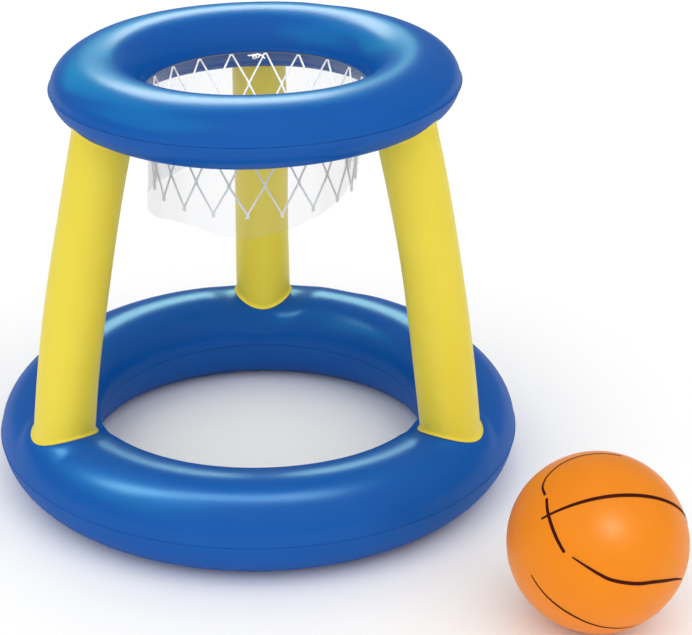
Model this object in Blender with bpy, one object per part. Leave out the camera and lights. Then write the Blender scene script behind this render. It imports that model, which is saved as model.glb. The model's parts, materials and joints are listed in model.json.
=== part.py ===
"""Floating basketball hoop: two inflated rings on three inflated legs, a net in a clear skirt, and its ball.

Metres, +Z up. The origin is the centre of the footprint of hoop and ball on the floor.
The hoop stands on its base ring and the ball rests beside it.
"""

import math

import bmesh
import bpy
import numpy as np
from mathutils import Matrix, Vector

# Vinyl sheet, its welds, and the clearance between pieces that touch
vinyl_thickness = 0.00035
ball_skin_thickness = 0.0005
clearance = 0.0003
outer_weld_width = 0.0015

# Base ring, measured over the inflated tube, whose inner side bulges less than an oval would
base_outer_radius = 0.2935
base_inner_radius = 0.1830
base_crest_share = 0.467
base_inner_power = 2.25
base_height = 0.103
base_inner_weld_width = 0.0015
floor_flat_depth = 0.001

# Top ring, whose inner seam hangs a little below the middle of the tube
top_outer_radius = 0.2193
top_inner_radius = 0.1220
top_crest_share = 0.5
top_inner_power = 2.0
top_tube_height = 0.0702
top_inner_weld_width = 0.0025
top_inner_seam_drop = 0.0067
hoop_height = 0.4914

# Legs, which taper and lean inwards and bow outwards a little
leg_foot_radius = 0.0333
leg_head_radius = 0.0315
leg_foot_outset = 0.0076
leg_head_outset = 0.01005
leg_bow = 0.0061
leg_lip_width = 0.003
leg_lip_height = 0.006
leg_azimuths = {"front_left_leg": 210.0, "front_right_leg": 330.0, "rear_leg": 90.0}

# Net of diamond meshes, hung by its top loops
net_loop_count = 19
net_first_loop_azimuth = 85.7
net_cord_thickness = 0.0026
net_knot_half_width = 0.0016
net_knot_half_height = 0.0024
net_tail_length = 0.004
net_row_drops = (0.0355, 0.0735, 0.107)
net_crown_shares = (0.6, -0.6)
net_tail_shares = (-0.5, 0.5)
net_taper = 0.004

# Clear skirt, whose folded hem traps the tops of the net's loops
film_thickness = 0.0003
film_hem_height = 0.009
film_foot_depth = 0.117
film_foot_slant = 0.014
film_slant_azimuth = 15.0
film_wave_height = 0.002
film_wave_count = 7

# Ball
ball_radius = 0.0901
ball_right_of_hoop = 0.3388
ball_in_front_of_hoop = 0.3484

# Inflation valves
stem_radius = 0.0038
stem_wall = 0.0012
stem_depth = 0.009
stem_rise = 0.0012
valve_flange_width = 0.0032
valve_flange_thickness = 0.0008
plug_head_thickness = 0.0014
plug_pin_depth = 0.005
tether_reach = 0.006
tether_bend = 0.002
flap_overlap = 0.0008
flap_thickness = 0.0005
flap_tab_length = 0.0012
ring_valve_azimuth = 65.0
ring_valve_facet = 1
leg_valve_facings = {"front_left_leg": 120.0, "front_right_leg": 60.0, "rear_leg": 90.0}
leg_valve_height_share = 0.3

# Facets of the round shapes
ring_steps = 36
section_steps = 8
leg_sides = 16
leg_levels = 5
ball_meridians = 24
ball_half_bands = 6
ball_sharp_degrees = 80.0
sharp_degrees = 50.0
valve_sides = 12
film_steps_per_loop = 2
film_level_shares = (0.3, 0.6, 1.0)

# How far a cut piece or its cutter runs past the cut
cut_overrun = 0.012

# Colours
blue = (0.012, 0.115, 0.456, 1.0)
yellow = (0.687, 0.591, 0.060, 1.0)
orange = (0.871, 0.279, 0.017, 1.0)
white = (0.855, 0.871, 0.887, 1.0)
film_clear = (0.800, 0.850, 0.870, 0.25)
valve_clear = (0.750, 0.800, 0.830, 1.0)

# Finishes, from matt at 1 to mirror at 0
ring_roughness = 0.28
leg_roughness = 0.35
ball_roughness = 0.3
net_roughness = 0.6
film_roughness = 0.15
valve_roughness = 0.4


class Ring:
    """An inflated ring: the section of its tube and the place of its seams.

    Its crest stands at a share of the way from its inner to its outer seam. The section is an oval
    outside the crest. Inside, a power above 2 makes it fuller towards its corners.
    """

    def __init__(self, inner_radius, outer_radius, bottom, top, crest_share, seam_drop, inner_power):
        self.inner_width = (outer_radius - inner_radius) * crest_share
        self.crest_radius = inner_radius + self.inner_width
        self.outer_width = outer_radius - self.crest_radius
        self.half_height = (top - bottom) / 2
        self.seam_height = (top + bottom) / 2
        self.seam_drop = seam_drop
        self.inner_power = inner_power

    def point(self, angle):
        """The section's radius and height at an angle from its outer seam."""
        across, up = math.cos(angle), math.sin(angle)
        if across >= 0:
            return np.array([self.crest_radius + self.outer_width * across,
                             self.seam_height + self.half_height * up])
        inward = (-across) ** (2 / self.inner_power)
        rise = math.copysign(abs(up) ** (2 / self.inner_power), up)
        radius = self.crest_radius - self.inner_width * inward
        height = self.seam_height + self.half_height * rise - self.seam_drop * across ** 2
        return np.array([radius, height])

    def normal(self, angle):
        """The section's outward direction at an angle."""
        step = math.radians(1)
        along = self.point(angle + step) - self.point(angle - step)
        return np.array([along[1], -along[0]]) / np.hypot(along[0], along[1])

    def curve(self, side, flat_height=None):
        """Points of the upper (side 1) or lower (side -1) half of the section, outer seam first."""
        angles = [side * math.pi * step / section_steps for step in range(section_steps + 1)]
        if flat_height is not None:
            lift = (self.seam_height - flat_height) / self.half_height
            outer_start = math.asin(lift)
            inner_start = math.asin(lift ** (self.inner_power / 2))
            steps = section_steps // 2
            angles = [side * outer_start * step / steps for step in range(steps + 1)]
            angles += [side * (math.pi - inner_start * step / steps) for step in range(steps, -1, -1)]
        return angles, [self.point(angle) for angle in angles]


base_ring = Ring(base_inner_radius, base_outer_radius, -floor_flat_depth, base_height, base_crest_share,
                 0.0, base_inner_power)
top_ring_foot = hoop_height - top_tube_height
top_ring = Ring(top_inner_radius, top_outer_radius, top_ring_foot, hoop_height, top_crest_share,
                top_inner_seam_drop, top_inner_power)

# The footprint of hoop and ball is centred on the origin
footprint_radius = base_outer_radius + outer_weld_width
hoop_right = (footprint_radius - ball_right_of_hoop - ball_radius) / 2
hoop_back = (ball_in_front_of_hoop + ball_radius - footprint_radius) / 2
hoop_centre = Vector((hoop_right, hoop_back, 0.0))
ball_centre = hoop_centre + Vector((ball_right_of_hoop, -ball_in_front_of_hoop, ball_radius))

# The legs stand a little outside the crest of each tube
leg_foot_distance = base_ring.crest_radius + leg_foot_outset
leg_head_distance = top_ring.crest_radius + leg_head_outset

# The film's flange lies in the top ring's inner seam with a clearance on each side
top_inner_seam_gap = film_thickness + 2 * clearance
hem_height = top_ring.point(math.pi)[1]

# The skirt hangs inside the top ring's inner weld, and the net inside the skirt
film_steps = net_loop_count * film_steps_per_loop
weld_tip_radius = (top_inner_radius - top_inner_weld_width) * math.cos(math.pi / ring_steps)
film_inner_radius = weld_tip_radius - clearance - film_thickness
cord_half_room = net_cord_thickness / 2 + clearance
net_top_radius = film_inner_radius * math.cos(math.pi / film_steps) - cord_half_room
net_foot_radius = net_top_radius - net_taper

# A valve's bore, flange and flap follow its stem
stem_bore_radius = stem_radius - stem_wall
valve_flange_radius = stem_radius + valve_flange_width
flap_radius = stem_bore_radius + flap_overlap

# A flap turns about the outer end of its tab
flap_hinge_distance = flap_radius * math.cos(math.pi / valve_sides) + flap_tab_length


def clear_scene():
    """Remove whatever the scene holds."""
    for obj in list(bpy.data.objects):
        bpy.data.objects.remove(obj)


def add_empty(name, place, rotation=None, parent=None):
    """An empty that carries a group of pieces or a joint's axis."""
    empty = bpy.data.objects.new(name, None)
    bpy.context.scene.collection.objects.link(empty)
    empty.empty_display_size = clearance
    empty.parent = parent
    empty.location = place
    if rotation is not None:
        empty.rotation_euler = rotation.to_euler()
    return empty


def add_object(name, mesh, parent):
    """An object for a mesh, under its parent."""
    obj = bpy.data.objects.new(name, mesh)
    bpy.context.scene.collection.objects.link(obj)
    obj.parent = parent
    return obj


def dress(obj, colour, roughness):
    """Give an object its own material."""
    material = bpy.data.materials.new(obj.name + "_material")
    material.use_nodes = True
    shader = material.node_tree.nodes["Principled BSDF"]
    shader.inputs["Base Color"].default_value = colour
    shader.inputs["Roughness"].default_value = roughness
    shader.inputs["Metallic"].default_value = 0.0
    shader.inputs["Alpha"].default_value = colour[3]
    obj.data.materials.clear()
    obj.data.materials.append(material)


def hide_cutter(obj):
    """Mark an object as a cutter that isn't part of the model."""
    obj.hide_render = True
    obj.display_type = "WIRE"


def cut(obj, cutter):
    """Cut a piece with another object."""
    modifier = obj.modifiers.new("cut_" + cutter.name, "BOOLEAN")
    modifier.operation = "DIFFERENCE"
    modifier.object = cutter
    modifier.solver = "EXACT"


def smooth(mesh, sharp_above):
    """Shade a round piece smooth, with its sharp edges kept."""
    mesh.shade_smooth()
    mesh.set_sharp_from_angle(angle=math.radians(sharp_above))


def turn(name, profile, steps, sharp_above=sharp_degrees):
    """A solid turned about Z from a closed profile, or from an open one that ends on the axis."""
    build = bmesh.new()
    corners = [build.verts.new((radius, 0.0, height)) for radius, height in profile]
    pairs = list(zip(corners, corners[1:]))
    if profile[0][0] > 0 or profile[-1][0] > 0:
        pairs.append((corners[-1], corners[0]))
    edges = [build.edges.new(pair) for pair in pairs]
    bmesh.ops.spin(build, geom=corners + edges, cent=(0, 0, 0), axis=(0, 0, 1),
                   angle=2 * math.pi, steps=steps, use_merge=True)
    bmesh.ops.remove_doubles(build, verts=build.verts, dist=film_thickness / steps)
    bmesh.ops.recalc_face_normals(build, faces=build.faces)
    mesh = bpy.data.meshes.new(name)
    build.to_mesh(mesh)
    build.free()
    smooth(mesh, sharp_above)
    return mesh


def wrap(name, chains, sharp_above=sharp_degrees):
    """A closed skin over closed chains of points that stand side by side in a circle."""
    build = bmesh.new()
    rows = [[build.verts.new(point) for point in chain] for chain in chains]
    for row, next_row in zip(rows, rows[1:] + rows[:1]):
        for index in range(len(row)):
            following = (index + 1) % len(row)
            build.faces.new((row[index], next_row[index], next_row[following], row[following]))
    bmesh.ops.recalc_face_normals(build, faces=build.faces)
    mesh = bpy.data.meshes.new(name)
    build.to_mesh(mesh)
    build.free()
    smooth(mesh, sharp_above)
    return mesh


def panel_profile(ring, side, inner_gap, inner_weld_width, flat_height=None):
    """One welded half of a ring's tube: a thin wall with a weld band along each seam."""
    angles, outside = ring.curve(side, flat_height)
    inside = [point - vinyl_thickness * ring.normal(angle) for angle, point in zip(angles, outside)]
    outer_seam, inner_seam = ring.point(0.0), ring.point(math.pi)
    outer_face = outer_seam[1] + side * clearance / 2
    inner_face = inner_seam[1] + side * inner_gap / 2
    wall = side * vinyl_thickness
    weld_out = outer_seam[0] + outer_weld_width
    weld_in = inner_seam[0] - inner_weld_width
    profile = [(weld_out, outer_face), (weld_out, outer_face + wall), (outer_seam[0], outer_face + wall)]
    profile += [tuple(point) for point in outside[1:-1]]
    profile += [(inner_seam[0], inner_face + wall), (weld_in, inner_face + wall), (weld_in, inner_face)]
    profile += [(inner_seam[0] + vinyl_thickness, inner_face)]
    profile += [tuple(point) for point in reversed(inside[1:-1])]
    profile += [(outer_seam[0] - vinyl_thickness, outer_face)]
    return profile


def ring_panel(name, ring, side, inner_gap, inner_weld_width, parent, flat_height=None):
    """The upper or lower panel of a ring."""
    profile = panel_profile(ring, side, inner_gap, inner_weld_width, flat_height)
    panel = add_object(name, turn(name, profile, ring_steps), parent)
    dress(panel, blue, ring_roughness)
    return panel


def ring_cutter(name, ring, parent):
    """A ring's outline grown by the clearance, which trims the ends of the legs."""
    growth = clearance / math.cos(math.pi / section_steps / 2)
    outline = []
    for side in (1, -1):
        angles, points = ring.curve(side)
        grown = [point + growth * ring.normal(angle) for angle, point in zip(angles, points)]
        outline += grown if side == 1 else grown[-2:0:-1]
    cutter = add_object(name, turn(name, [tuple(point) for point in outline], ring_steps), parent)
    hide_cutter(cutter)
    return cutter


def ring_surface_height(ring, side, radius):
    """Height of a ring's upper or lower surface at a distance from the hoop's axis."""
    points = np.array(ring.curve(side)[1])
    order = np.argsort(points[:, 0])
    return float(np.interp(radius, points[order, 0], points[order, 1]))


def leg_axis_distance(share):
    """Distance of a leg's axis from the hoop's, at a share of the leg's length from its foot."""
    lean = leg_foot_distance + (leg_head_distance - leg_foot_distance) * share
    return lean + leg_bow * 4 * share * (1 - share)


def leg_wall_radius(share):
    """Radius of a leg's tube at a share of its length from its foot."""
    return leg_foot_radius + (leg_head_radius - leg_foot_radius) * share


def leg_chain(azimuth, side_angle):
    """The leg's wall along one of its sides: up the outside and down the inside."""
    outward = np.array([math.cos(azimuth), math.sin(azimuth)])
    across = np.array([math.cos(side_angle), math.sin(side_angle)])
    foot_reach = np.linalg.norm(outward * leg_foot_distance + across * leg_foot_radius)
    head_reach = np.linalg.norm(outward * leg_head_distance + across * leg_head_radius)
    foot = ring_surface_height(base_ring, 1, foot_reach)
    head = ring_surface_height(top_ring, -1, head_reach)
    length = head - foot
    lip_share = leg_lip_height / length
    stations = [(-cut_overrun / length, leg_lip_width), (0.0, leg_lip_width), (lip_share, 0.0)]
    middle = [step / (leg_levels + 1) for step in range(1, leg_levels + 1)]
    stations += [(share, 0.0) for share in middle]
    stations += [(1 - lip_share, 0.0), (1.0, leg_lip_width), (1 + cut_overrun / length, leg_lip_width)]
    outside, inside = [], []
    for share, flare in stations:
        inside_share = min(max(share, 0.0), 1.0)
        centre = outward * leg_axis_distance(inside_share)
        height = foot + length * share
        for wall, depth in ((outside, 0.0), (inside, vinyl_thickness)):
            place = centre + across * (leg_wall_radius(inside_share) + flare - depth)
            wall.append((place[0], place[1], height))
    return outside + inside[::-1]


def add_leg(name, azimuth_degrees, parent, cutters):
    """A leg: a bowed tube whose flared ends sit on both rings."""
    azimuth = math.radians(azimuth_degrees)
    side_angles = [azimuth + 2 * math.pi * (side + 0.5) / leg_sides for side in range(leg_sides)]
    leg = add_object(name, wrap(name, [leg_chain(azimuth, angle) for angle in side_angles]), parent)
    for cutter in cutters:
        cut(leg, cutter)
    dress(leg, yellow, leg_roughness)
    return leg


def net_radius(depth):
    """Radius of the net's cord at a depth below the hem."""
    share = min(depth / net_row_drops[-1], 1.0)
    return net_top_radius + (net_foot_radius - net_top_radius) * share


def add_net(parent):
    """The net: a sheet of cords between open diamonds, thickened."""
    pitch = 2 * math.pi / net_loop_count
    first = math.radians(net_first_loop_azimuth)
    top_depth = film_thickness / 2 + clearance + net_knot_half_height
    depths = [top_depth] + [top_depth + drop for drop in net_row_drops]
    build = bmesh.new()

    def vertex(row, loop, across, up):
        azimuth = first + pitch * (loop + 0.5 * (row % 2))
        depth = depths[row] - up
        radius = net_radius(depth)
        turned = azimuth + across / radius
        return build.verts.new((radius * math.cos(turned), radius * math.sin(turned), hem_height - depth))

    wide, high = net_knot_half_width, net_knot_half_height
    knots = {}
    last_row = len(depths) - 1
    for row in range(len(depths)):
        for loop in range(net_loop_count):
            knot = {"east": vertex(row, loop, wide, 0.0), "west": vertex(row, loop, -wide, 0.0)}
            if row == 0:
                crown = [vertex(row, loop, wide * share, high * math.sqrt(1 - share ** 2))
                         for share in net_crown_shares]
                knot["south"] = vertex(row, loop, 0.0, -high)
                outline = [knot["east"], *crown, knot["west"], knot["south"]]
            elif row == last_row:
                tail = [vertex(row, loop, share * wide, -net_tail_length) for share in net_tail_shares]
                knot["north"] = vertex(row, loop, 0.0, high)
                outline = [knot["east"], knot["north"], knot["west"], *tail]
            else:
                knot["north"] = vertex(row, loop, 0.0, high)
                knot["south"] = vertex(row, loop, 0.0, -high)
                outline = [knot["east"], knot["north"], knot["west"], knot["south"]]
            build.faces.new(outline)
            knots[row, loop] = knot

    def middle(first_vertex, second_vertex):
        point = (first_vertex.co + second_vertex.co) / 2
        radius = net_radius(hem_height - point.z)
        scale = radius / math.hypot(point.x, point.y)
        return build.verts.new((point.x * scale, point.y * scale, point.z))

    for row in range(last_row):
        for loop in range(net_loop_count):
            upper = knots[row, loop]
            shift = row % 2
            right = knots[row + 1, (loop + shift) % net_loop_count]
            left = knots[row + 1, (loop + shift - 1) % net_loop_count]
            for lower, near, far, start, end in ((right, "east", "north", "south", "west"),
                                                 (left, "west", "north", "south", "east")):
                side_middle = middle(upper[near], lower[far])
                under_middle = middle(upper[start], lower[end])
                build.faces.new((upper[start], upper[near], side_middle, under_middle))
                build.faces.new((under_middle, side_middle, lower[far], lower[end]))
    bmesh.ops.recalc_face_normals(build, faces=build.faces)
    mesh = bpy.data.meshes.new("net")
    build.to_mesh(mesh)
    build.free()
    net = add_object("net", mesh, parent)
    thicken = net.modifiers.new("cord", "SOLIDIFY")
    thicken.thickness = net_cord_thickness
    thicken.offset = 0.0
    dress(net, white, net_roughness)
    return net


def film_chain(azimuth, half_facet):
    """The film at one azimuth: its flange in the seam, the hem fold inside and the skirt outside."""
    reach = 1 / math.cos(half_facet)
    flange_outer = top_inner_radius + vinyl_thickness
    hem_outer = net_top_radius - cord_half_room - clearance
    slant = film_foot_slant * math.cos(azimuth - math.radians(film_slant_azimuth))
    wave = film_wave_height * math.sin(film_wave_count * azimuth)
    foot_depth = film_foot_depth - slant - wave
    upper, lower = hem_height + film_thickness / 2, hem_height - film_thickness / 2
    section = [(flange_outer, upper), (hem_outer - film_thickness, upper)]
    section += [(hem_outer - film_thickness, lower - film_hem_height), (hem_outer, lower - film_hem_height)]
    section += [(hem_outer, lower), (film_inner_radius, lower)]
    skirt = [((net_radius(foot_depth * share) + cord_half_room) * reach, hem_height - foot_depth * share)
             for share in film_level_shares]
    section += skirt
    section += [(radius + film_thickness, height) for radius, height in reversed(skirt)]
    section += [(film_inner_radius + film_thickness, lower), (flange_outer, lower)]
    return [(radius * math.cos(azimuth), radius * math.sin(azimuth), height) for radius, height in section]


def add_skirt(parent):
    """The clear skirt round the net."""
    first = math.radians(net_first_loop_azimuth)
    azimuths = [first + 2 * math.pi * step / film_steps for step in range(film_steps)]
    chains = [film_chain(azimuth, math.pi / film_steps) for azimuth in azimuths]
    skirt = add_object("clear_skirt", wrap("clear_skirt", chains), parent)
    dress(skirt, film_clear, film_roughness)
    return skirt


def ball_profile():
    """A thin sphere's section with the valve's hole at its upper pole, from pole to pole."""
    hole = math.asin((stem_radius + clearance) / ball_radius)
    quarter = math.pi / 2
    angles = [hole + (quarter - hole) * band / ball_half_bands for band in range(ball_half_bands)]
    angles += [quarter + quarter * band / ball_half_bands for band in range(ball_half_bands)]
    inner_radius = ball_radius - ball_skin_thickness
    outside = [(ball_radius * math.sin(angle), ball_radius * math.cos(angle)) for angle in angles]
    inside = [(inner_radius * math.sin(angle), inner_radius * math.cos(angle)) for angle in angles[1:]]
    rim = (outside[0][0], outside[0][1] - ball_skin_thickness)
    return [(0.0, -ball_radius)] + outside[::-1] + [rim] + inside + [(0.0, -inner_radius)]


def add_ball(parent):
    """The ball's skin, turned about its valve, which faces away from the front."""
    mesh = turn("ball_skin", ball_profile(), ball_meridians, ball_sharp_degrees)
    ball = add_object("ball_skin", mesh, parent)
    dress(ball, orange, ball_roughness)
    return ball


def flange_depth(skin_radius, wall, half_facet, seat_radius):
    """How far a flat flange lies below its seat so that its rim clears a round skin's inner face."""
    inner = (skin_radius - wall) * math.cos(half_facet)
    return seat_radius - math.sqrt(inner ** 2 - valve_flange_radius ** 2) + clearance


def valve_sockets():
    """Each hoop valve's name, seat, outward direction, tether direction and flange depth."""
    half_step = math.pi / ring_steps
    sockets = []
    for name, ring in (("base_ring", base_ring), ("top_ring", top_ring)):
        points = ring.curve(1)[1]
        near, far = points[ring_valve_facet], points[ring_valve_facet + 1]
        middle, along = (near + far) / 2, far - near
        azimuth = math.radians(ring_valve_azimuth)
        radial = Vector((math.cos(azimuth), math.sin(azimuth), 0.0))
        outward = radial * along[1] - Vector((0, 0, along[0])) * math.cos(half_step)
        place = radial * middle[0] * math.cos(half_step) + Vector((0.0, 0.0, middle[1]))
        tangent = Vector((-radial.y, radial.x, 0.0))
        sockets.append((name, place, outward.normalized(), tangent, vinyl_thickness + clearance))
    half_side = math.pi / leg_sides
    wall_radius = leg_wall_radius(leg_valve_height_share)
    seat_radius = wall_radius * math.cos(half_side)
    depth = flange_depth(wall_radius, vinyl_thickness, half_side, seat_radius)
    foot, head = base_height, top_ring_foot
    for name, azimuth_degrees in leg_azimuths.items():
        azimuth, facing = math.radians(azimuth_degrees), math.radians(leg_valve_facings[name])
        radial = Vector((math.cos(azimuth), math.sin(azimuth), 0.0))
        lean = leg_head_distance - leg_foot_distance + leg_bow * 4 * (1 - 2 * leg_valve_height_share)
        axis = (radial * lean + Vector((0.0, 0.0, head - foot))).normalized()
        sideways = Vector((math.cos(facing), math.sin(facing), 0.0))
        outward = (sideways - axis * sideways.dot(axis)).normalized()
        centre = radial * leg_axis_distance(leg_valve_height_share)
        centre.z = foot + (head - foot) * leg_valve_height_share
        sockets.append((name, centre + sideways * seat_radius, outward, -axis, depth))
    return sockets


def valve_body_mesh(depth):
    """A stem with a flange that lies under the skin."""
    flange_foot = -depth - valve_flange_thickness
    profile = [(stem_bore_radius, stem_rise), (stem_radius, stem_rise), (stem_radius, -depth)]
    profile += [(valve_flange_radius, -depth), (valve_flange_radius, flange_foot), (stem_radius, flange_foot)]
    profile += [(stem_radius, -stem_depth), (stem_bore_radius, -stem_depth)]
    return turn("valve_body", profile, valve_sides)


def pull_out_side(mesh, height, moves):
    """Extrude the side face that looks along +X at a height, once for each move."""
    build = bmesh.new()
    build.from_mesh(mesh)
    build.transform(Matrix.Rotation(-math.pi / valve_sides, 4, "Z"))
    build.normal_update()
    sides = [face for face in build.faces if abs(face.calc_center_median().z - height) < clearance]
    face = max(sides, key=lambda side: side.normal.x)
    for move in moves:
        grown = bmesh.ops.extrude_face_region(build, geom=[face])["geom"]
        corners = [item for item in grown if isinstance(item, bmesh.types.BMVert)]
        bmesh.ops.delete(build, geom=[face], context="FACES_ONLY")
        face = next(item for item in grown if isinstance(item, bmesh.types.BMFace))
        bmesh.ops.translate(build, verts=corners, vec=move)
    bmesh.ops.recalc_face_normals(build, faces=build.faces)
    build.to_mesh(mesh)
    build.free()
    return mesh


def plug_mesh():
    """A plug with a round head, and a tether that runs down to the skin."""
    head_foot = stem_rise + clearance
    head_top = head_foot + plug_head_thickness
    pin_radius = stem_bore_radius - clearance
    profile = [(0.0, head_top), (stem_radius, head_top), (stem_radius, head_foot), (pin_radius, head_foot)]
    profile += [(pin_radius, -plug_pin_depth), (0.0, -plug_pin_depth)]
    moves = [Vector((tether_reach, 0.0, 0.0)), Vector((tether_bend, 0.0, clearance - head_foot))]
    return pull_out_side(turn("valve_plug", profile, valve_sides), (head_foot + head_top) / 2, moves)


def flap_mesh():
    """A disc with a hinge tab, drawn about its hinge line."""
    half = flap_thickness / 2
    profile = [(0.0, half), (flap_radius, half), (flap_radius, -half), (0.0, -half)]
    mesh = pull_out_side(turn("valve_flap", profile, valve_sides), 0.0, [Vector((flap_tab_length, 0.0, 0.0))])
    mesh.transform(Matrix.Translation((-flap_hinge_distance, 0.0, 0.0)))
    return mesh


def add_valve(name, place, outward, tether, depth, parent, skin=None):
    """A valve on its seat: the body, the plug that pulls out of it and the flap at its inner end."""
    across = outward.cross(tether).normalized()
    along = across.cross(outward)
    rotation = Matrix((along, across, outward)).transposed()
    seat = add_empty(name + "_valve_seat", place, rotation, parent)
    body = add_object(name + "_valve_body", valve_body_mesh(depth), seat)
    plug = add_object(name + "_valve_plug", plug_mesh(), seat)
    flap = add_object(name + "_valve_flap", flap_mesh(), seat)
    flap.location = (flap_hinge_distance, 0.0, -stem_depth - clearance - flap_thickness / 2)
    for piece in (body, plug, flap):
        dress(piece, valve_clear, valve_roughness)
    if skin is not None:
        hole_radius = stem_radius + clearance
        half = [(0.0, cut_overrun), (hole_radius, cut_overrun)]
        profile = half + [(radius, -height) for radius, height in reversed(half)]
        hole = add_object(name + "_valve_hole_cutter", turn("valve_hole", profile, valve_sides), seat)
        hide_cutter(hole)
        cut(skin, hole)


def build_hoop():
    """The hoop about its own axis, carried to its place in the footprint."""
    centre = add_empty("hoop_centre", hoop_centre)
    ring_panel("base_ring_lower_panel", base_ring, -1, clearance, base_inner_weld_width, centre, 0.0)
    base_skin = ring_panel("base_ring_upper_panel", base_ring, 1, clearance, base_inner_weld_width, centre)
    ring_panel("top_ring_lower_panel", top_ring, -1, top_inner_seam_gap, top_inner_weld_width, centre)
    top_skin = ring_panel("top_ring_upper_panel", top_ring, 1, top_inner_seam_gap,
                          top_inner_weld_width, centre)
    cutters = [ring_cutter(name + "_cutter", ring, centre)
               for name, ring in (("base_ring", base_ring), ("top_ring", top_ring))]
    skins = {"base_ring": base_skin, "top_ring": top_skin}
    for name, azimuth in leg_azimuths.items():
        skins[name] = add_leg(name, azimuth, centre, cutters)
    add_skirt(centre)
    add_net(centre)
    for name, place, outward, tether, depth in valve_sockets():
        add_valve(name, place, outward, tether, depth, centre, skins[name])


def build_ball():
    """The ball about its own centre, its valve's pole turned to the back."""
    centre = add_empty("ball_centre", ball_centre, Matrix.Rotation(-math.pi / 2, 3, "X"))
    add_ball(centre)
    half_band = math.pi / 4 / ball_half_bands
    depth = flange_depth(ball_radius, ball_skin_thickness, half_band, ball_radius)
    outward, tether = Vector((0.0, 0.0, 1.0)), Vector((1.0, 0.0, 0.0))
    add_valve("ball", outward * ball_radius, outward, tether, depth, centre)


clear_scene()
build_hoop()
build_ball()
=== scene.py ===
import json
import math

import bmesh
import bpy
import numpy as np
from mathutils import Matrix, Vector


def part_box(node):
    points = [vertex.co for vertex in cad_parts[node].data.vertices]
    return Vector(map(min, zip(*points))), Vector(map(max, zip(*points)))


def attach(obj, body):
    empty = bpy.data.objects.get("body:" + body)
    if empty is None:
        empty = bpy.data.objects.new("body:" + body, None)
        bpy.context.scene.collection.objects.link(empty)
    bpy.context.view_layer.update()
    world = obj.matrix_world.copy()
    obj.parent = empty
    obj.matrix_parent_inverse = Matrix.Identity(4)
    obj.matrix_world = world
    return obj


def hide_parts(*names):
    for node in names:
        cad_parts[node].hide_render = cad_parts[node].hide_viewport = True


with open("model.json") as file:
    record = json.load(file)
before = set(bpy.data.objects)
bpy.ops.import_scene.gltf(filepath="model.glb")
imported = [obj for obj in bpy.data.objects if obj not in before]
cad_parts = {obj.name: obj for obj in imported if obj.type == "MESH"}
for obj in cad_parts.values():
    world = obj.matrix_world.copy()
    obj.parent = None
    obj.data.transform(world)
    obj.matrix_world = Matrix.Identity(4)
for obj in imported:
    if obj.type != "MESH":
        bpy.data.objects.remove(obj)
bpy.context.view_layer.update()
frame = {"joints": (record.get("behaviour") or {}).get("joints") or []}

# Base ring, the float that the hoop stands on. Two flat rings of blue PVC sheet are welded together along
# their outer and inner edges between heated dies, then blown up through a valve. The tube is oval, the
# weld runs round it as a thin ribbed lip, and the sheet puckers a little where the weld holds it in.

base_outer_radius = 0.2935
base_inner_radius = 0.183
base_crest_share = 0.467
base_crest_radius = base_inner_radius + (base_outer_radius - base_inner_radius) * base_crest_share
base_inner_fullness = 2.25
base_height = 0.103
base_floor_flat = 0.001
base_outer_lip = 0.0012
base_inner_lip = 0.0003
lip_cusp = 0.0032
lip_trim_share = 0.97
lip_trim_reach = math.radians(52)
sheet_thickness = 0.00035
weld_gap = 0.00003
ring_stations = 480
section_stations = 44
foot_azimuths = (210.0, 330.0, 90.0)
foot_outset = 0.0076
foot_rises = (0.001, 0.001, -0.0035)
foot_tilt = 0.15
foot_reaches = (0.056, 0.056, 0.075)
foot_fades = (0.020, 0.020, 0.042)
lean_start = 0.12
lean_full = 0.41
lean_slope = 0.0167
lean_pivot = 0.05
base_spread = 0.0028
valve_calm = 0.022
base_rear_rise = 0.004
pvc_ior = 1.53
weld_rib_pitch = 0.0011
cusp_share = 0.7
inner_cusp_most = 0.0009
tangent_step = 0.01
lip_shares = np.array([1.0, 0.96, 0.6, 0.2])
lip_droop_shares = np.array([-0.4, -0.1, 0.0, 0.0])
lip_steps = len(lip_shares)
base_pucker = 0.00035
base_pucker_count = 64
pucker_start = 0.002
pucker_reach = 0.011
pucker_evenness_share = 0.75
inner_pucker_share = 1.2
pucker_drift_waves = ((2.1, 3, 0.4, 0.0), (1.3, 7, 0.0, 2.1))
pucker_depth_waves = ((0.25, 5, 0.0, 1.0),)
swell_waves = ((0.0004, 3, 0.7, 0.0), (0.0003, 5, 0.0, 2.0))
belly_share = 0.5

lowest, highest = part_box("base_ring_lower_panel")
hoop_axis = np.array([(lowest.x + highest.x) / 2, (lowest.y + highest.y) / 2])


def linear(colour):
    """The linear colour of an sRGB hex value."""
    channels = [int(colour[place:place + 2], 16) / 255 for place in (0, 2, 4)]
    curved = [c / 12.92 if c <= 0.04045 else ((c + 0.055) / 1.055) ** 2.4 for c in channels]
    return (*curved, 1.0)


def add_node(tree, kind, links=None, **settings):
    """A node with its settings. A value for a socket is set there, and another node's socket is linked."""
    node = tree.nodes.new(kind)
    for name, value in settings.items():
        setattr(node, name, value)
    for socket, value in (links or {}).items():
        if isinstance(value, bpy.types.NodeSocket):
            tree.links.new(value, node.inputs[socket])
        else:
            node.inputs[socket].default_value = value
    return node


def standard_material(name, values):
    """A material on the standard shader with its even values set: it, its node tree and its shader."""
    material = bpy.data.materials.new(name)
    material.use_nodes = True
    shader = material.node_tree.nodes["Principled BSDF"]
    for socket, value in values.items():
        shader.inputs[socket].default_value = value
    return material, material.node_tree, shader


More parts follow.
